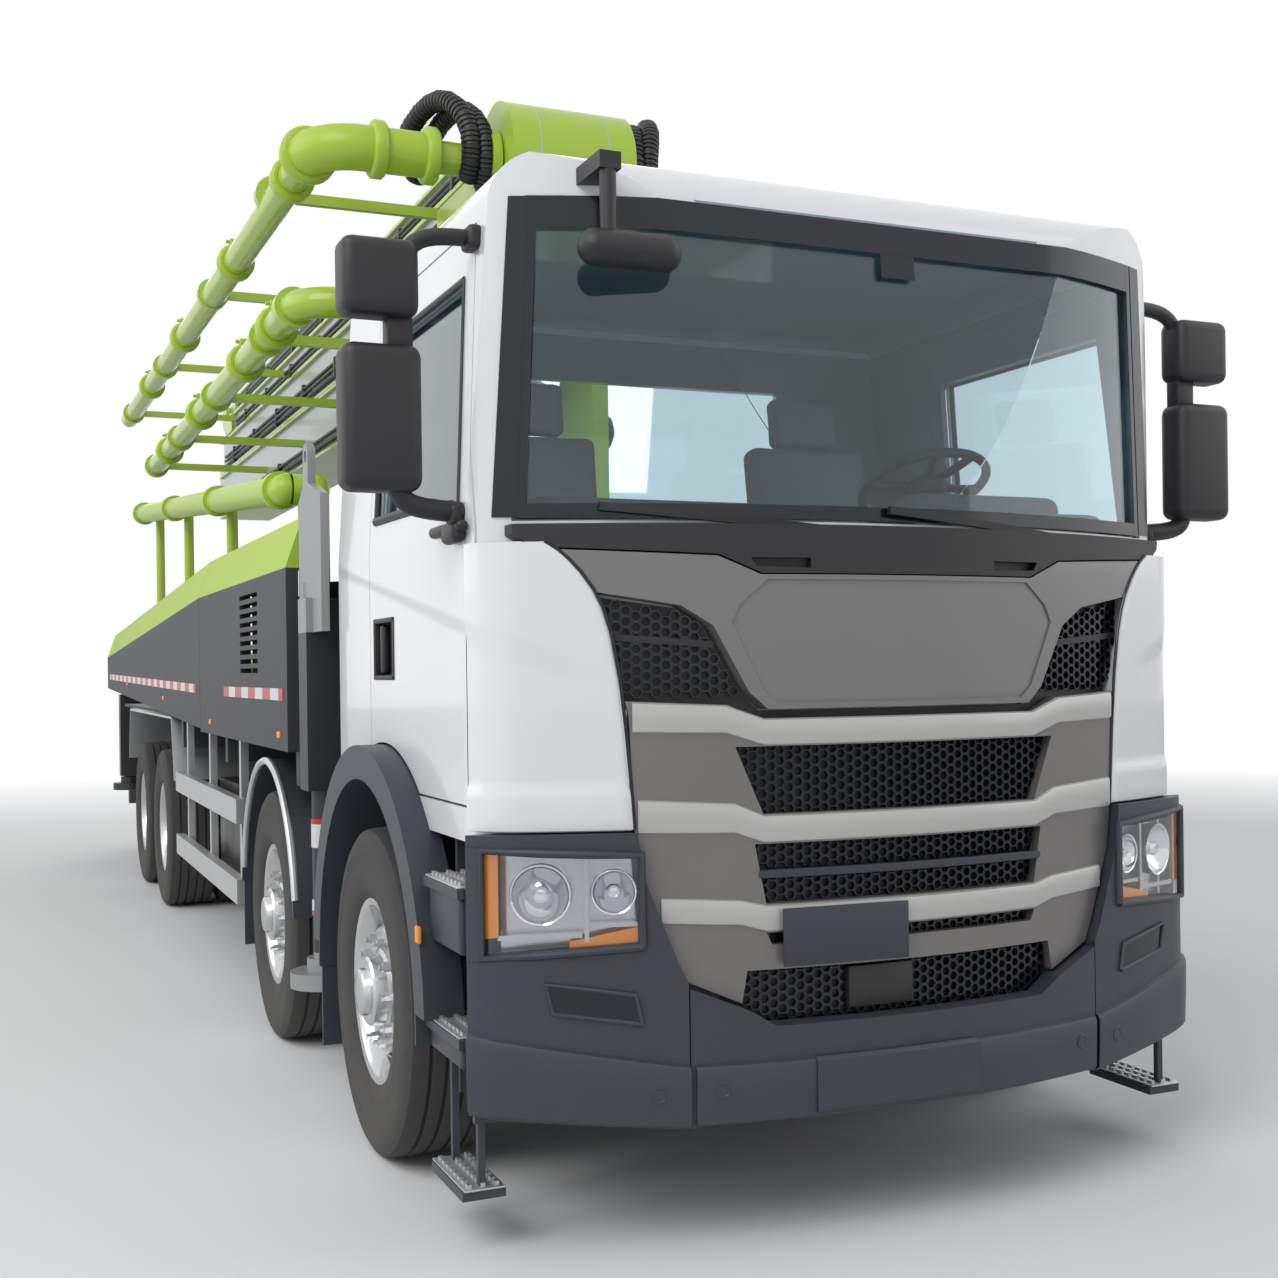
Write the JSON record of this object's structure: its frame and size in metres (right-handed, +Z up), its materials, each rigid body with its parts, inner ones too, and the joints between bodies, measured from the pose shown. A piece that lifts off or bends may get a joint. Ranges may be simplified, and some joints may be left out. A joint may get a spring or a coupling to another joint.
{
  "type": "concrete pump truck",
  "caption": "Cab-over truck with a folded placing boom on a slewing turret, outriggers with jacks, a rear hopper and pump; wheels, steering, doors and boom sections move.",
  "frame": {"origin": "On the ground, midway between the bumper and the boom's rear joint and between the mirrors", "axes": "+Z up, the cab faces -Y, +X is the truck's left"},
  "size_m": [3, 12.2599, 4.13],
  "materials": {
    "chassis_grey": "satin",
    "engine_grey": "satin",
    "cab_white": "gloss",
    "hood_taupe": "satin metallic",
    "bar_champagne": "satin metallic",
    "black_plastic": "grained",
    "charcoal_plastic": "grained",
    "lamp_clear": "clear",
    "glass": "clear",
    "interior_grey": "soft",
    "wheel": "rubber on painted rim",
    "cover_grey": "satin",
    "guard_silver": "satin",
    "boom_green": "gloss",
    "leg_black": "satin",
    "steel": "ground"
  },
  "bodies": {
    "chassis": {"chassis_frame": "chassis_grey", "engine_block": "engine_grey", "front_axles": "chassis_grey", "drive_axles": "chassis_grey", "cab_shell": "cab_white", "cab_roof": "cab_white", "hood_panel": "hood_taupe", "corner_panels": "cab_white", "grille_bars": "bar_champagne", "grille_mesh": "black_plastic", "bumper": "charcoal_plastic", "headlamps": "lamp_clear", "wipers": "black_plastic", "cab_glass": "glass", "cab_interior": "interior_grey", "cab_steps": "charcoal_plastic", "front_fenders": "charcoal_plastic", "front_mirror": "black_plastic", "pump_subframe": "chassis_grey", "side_covers": "cover_grey", "side_guards": "guard_silver", "rear_fenders": "guard_silver", "tanks": "leg_black", "hopper": "boom_green", "delivery_line": "boom_green"},
    "door_left": {"door_left": "cab_white", "door_glass_left": "glass", "mirror_left": "black_plastic"},
    "door_right": {"door_right": "cab_white", "door_glass_right": "glass", "mirror_right": "black_plastic"},
    "knuckle_1_left": {"knuckle_1_left": "chassis_grey"},
    "wheel_1_left": {"wheel_1_left": "wheel"},
    "knuckle_1_right": {"knuckle_1_right": "chassis_grey"},
    "wheel_1_right": {"wheel_1_right": "wheel"},
    "knuckle_2_left": {"knuckle_2_left": "chassis_grey"},
    "wheel_2_left": {"wheel_2_left": "wheel"},
    "knuckle_2_right": {"knuckle_2_right": "chassis_grey"},
    "wheel_2_right": {"wheel_2_right": "wheel"},
    "wheel_3_left": {"wheel_3_left": "wheel"},
    "wheel_3_right": {"wheel_3_right": "wheel"},
    "wheel_4_left": {"wheel_4_left": "wheel"},
    "wheel_4_right": {"wheel_4_right": "wheel"},
    "turret": {"turret": "boom_green"},
    "lift_barrel": {"lift_barrel": "leg_black"},
    "lift_rod": {"lift_rod": "steel"},
    "boom_1": {"boom_1": "boom_green"},
    "boom_2": {"boom_2": "boom_green"},
    "boom_3": {"boom_3": "boom_green"},
    "boom_4": {"boom_4": "boom_green"},
    "hopper_grate": {"hopper_grate": "leg_black"},
    "front_outrigger_left": {"front_outrigger_left": "leg_black"},
    "front_jack_left": {"front_jack_left": "steel"},
    "rear_outrigger_left": {"rear_outrigger_left": "leg_black"},
    "rear_jack_left": {"rear_jack_left": "steel"},
    "front_outrigger_right": {"front_outrigger_right": "leg_black"},
    "front_jack_right": {"front_jack_right": "steel"},
    "rear_outrigger_right": {"rear_outrigger_right": "leg_black"},
    "rear_jack_right": {"rear_jack_right": "steel"}
  },
  "joints": [
    {"name": "door_left_hinge", "type": "hinge", "parent": "chassis", "child": "door_left", "pos_m": [1.165, -5.73, 2], "axis": [0, 0, -1], "range_deg": [0, 70]},
    {"name": "door_right_hinge", "type": "hinge", "parent": "chassis", "child": "door_right", "pos_m": [-1.165, -5.73, 2], "axis": [0, 0, 1], "range_deg": [0, 70]},
    {"name": "steer_1_left", "type": "hinge", "parent": "chassis", "child": "knuckle_1_left", "pos_m": [0.88, -4.73, 0.53], "axis": [0, 0, 1], "range_deg": [-34, 34]},
    {"name": "spin_1_left", "type": "hinge", "parent": "knuckle_1_left", "child": "wheel_1_left", "pos_m": [1.0775, -4.73, 0.53], "axis": [1, 0, 0], "continuous": true},
    {"name": "steer_1_right", "type": "hinge", "parent": "chassis", "child": "knuckle_1_right", "pos_m": [-0.88, -4.73, 0.53], "axis": [0, 0, 1], "range_deg": [-34, 34]},
    {"name": "spin_1_right", "type": "hinge", "parent": "knuckle_1_right", "child": "wheel_1_right", "pos_m": [-1.0775, -4.73, 0.53], "axis": [1, 0, 0], "continuous": true},
    {"name": "steer_2_left", "type": "hinge", "parent": "chassis", "child": "knuckle_2_left", "pos_m": [0.88, -2.856, 0.53], "axis": [0, 0, 1], "range_deg": [-25, 25]},
    {"name": "spin_2_left", "type": "hinge", "parent": "knuckle_2_left", "child": "wheel_2_left", "pos_m": [1.0775, -2.856, 0.53], "axis": [1, 0, 0], "continuous": true},
    {"name": "steer_2_right", "type": "hinge", "parent": "chassis", "child": "knuckle_2_right", "pos_m": [-0.88, -2.856, 0.53], "axis": [0, 0, 1], "range_deg": [-25, 25]},
    {"name": "spin_2_right", "type": "hinge", "parent": "knuckle_2_right", "child": "wheel_2_right", "pos_m": [-1.0775, -2.856, 0.53], "axis": [1, 0, 0], "continuous": true},
    {"name": "spin_3_left", "type": "hinge", "parent": "chassis", "child": "wheel_3_left", "pos_m": [0.905, 1.562, 0.53], "axis": [1, 0, 0], "continuous": true},
    {"name": "spin_3_right", "type": "hinge", "parent": "chassis", "child": "wheel_3_right", "pos_m": [-0.905, 1.562, 0.53], "axis": [1, 0, 0], "continuous": true},
    {"name": "spin_4_left", "type": "hinge", "parent": "chassis", "child": "wheel_4_left", "pos_m": [0.905, 2.932, 0.53], "axis": [1, 0, 0], "continuous": true},
    {"name": "spin_4_right", "type": "hinge", "parent": "chassis", "child": "wheel_4_right", "pos_m": [-0.905, 2.932, 0.53], "axis": [1, 0, 0], "continuous": true},
    {"name": "slew", "type": "hinge", "parent": "chassis", "child": "turret", "pos_m": [0, -2.78, 2.11], "axis": [0, 0, 1], "range_deg": [0, 365]},
    {"name": "boom_1_lift", "type": "hinge", "parent": "turret", "child": "boom_1", "pos_m": [0, -2.78, 3.21], "axis": [1, 0, 0], "range_deg": [0, 90]},
    {"name": "boom_2_fold", "type": "hinge", "parent": "boom_1", "child": "boom_2", "pos_m": [0, 6.01, 3.45], "axis": [-1, 0, 0], "range_deg": [0, 180]},
    {"name": "boom_3_fold", "type": "hinge", "parent": "boom_2", "child": "boom_3", "pos_m": [0, -3.18, 3.78], "axis": [1, 0, 0], "range_deg": [0, 180]},
    {"name": "boom_4_fold", "type": "hinge", "parent": "boom_3", "child": "boom_4", "pos_m": [0, 5.77, 3.98], "axis": [-1, 0, 0], "range_deg": [0, 180]},
    {"name": "lift_barrel_swing", "type": "hinge", "parent": "turret", "child": "lift_barrel", "pos_m": [0, -2.43, 2.75], "axis": [1, 0, 0], "range_deg": [-5, 85]},
    {"name": "lift_rod_slide", "type": "slide", "parent": "lift_barrel", "child": "lift_rod", "axis": [0, 0.9385, 0.3454], "range_m": [-0.02, 0.8]},
    {"name": "hopper_grate_hinge", "type": "hinge", "parent": "chassis", "child": "hopper_grate", "pos_m": [0, 5.2855, 1.658], "axis": [1, 0, 0], "range_deg": [0, 80]},
    {"name": "front_outrigger_left_slide", "type": "slide", "parent": "chassis", "child": "front_outrigger_left", "axis": [0.7071, -0.7071, 0], "range_m": [0, 1]},
    {"name": "rear_outrigger_left_slide", "type": "slide", "parent": "chassis", "child": "rear_outrigger_left", "axis": [1, 0, 0], "range_m": [0, 1.1]},
    {"name": "front_jack_left_slide", "type": "slide", "parent": "front_outrigger_left", "child": "front_jack_left", "axis": [0, 0, -1], "range_m": [0, 0.45]},
    {"name": "rear_jack_left_slide", "type": "slide", "parent": "rear_outrigger_left", "child": "rear_jack_left", "axis": [0, 0, -1], "range_m": [0, 0.6]},
    {"name": "front_outrigger_right_slide", "type": "slide", "parent": "chassis", "child": "front_outrigger_right", "axis": [-0.7071, -0.7071, 0], "range_m": [0, 1]},
    {"name": "rear_outrigger_right_slide", "type": "slide", "parent": "chassis", "child": "rear_outrigger_right", "axis": [-1, 0, 0], "range_m": [0, 1.1]},
    {"name": "front_jack_right_slide", "type": "slide", "parent": "front_outrigger_right", "child": "front_jack_right", "axis": [0, 0, -1], "range_m": [0, 0.45]},
    {"name": "rear_jack_right_slide", "type": "slide", "parent": "rear_outrigger_right", "child": "rear_jack_right", "axis": [0, 0, -1], "range_m": [0, 0.6]}
  ],
  "couplings": [
    {"joint": "steer_1_right", "follows": "steer_1_left", "ratio": 1},
    {"joint": "steer_2_left", "follows": "steer_1_left", "ratio": 0.73},
    {"joint": "steer_2_right", "follows": "steer_1_left", "ratio": 0.73},
    {"joint": "lift_barrel_swing", "follows": "boom_1_lift", "ratio": 0.88266},
    {"joint": "lift_rod_slide", "follows": "boom_1_lift", "m_per_rad": 0.48228}
  ]
}
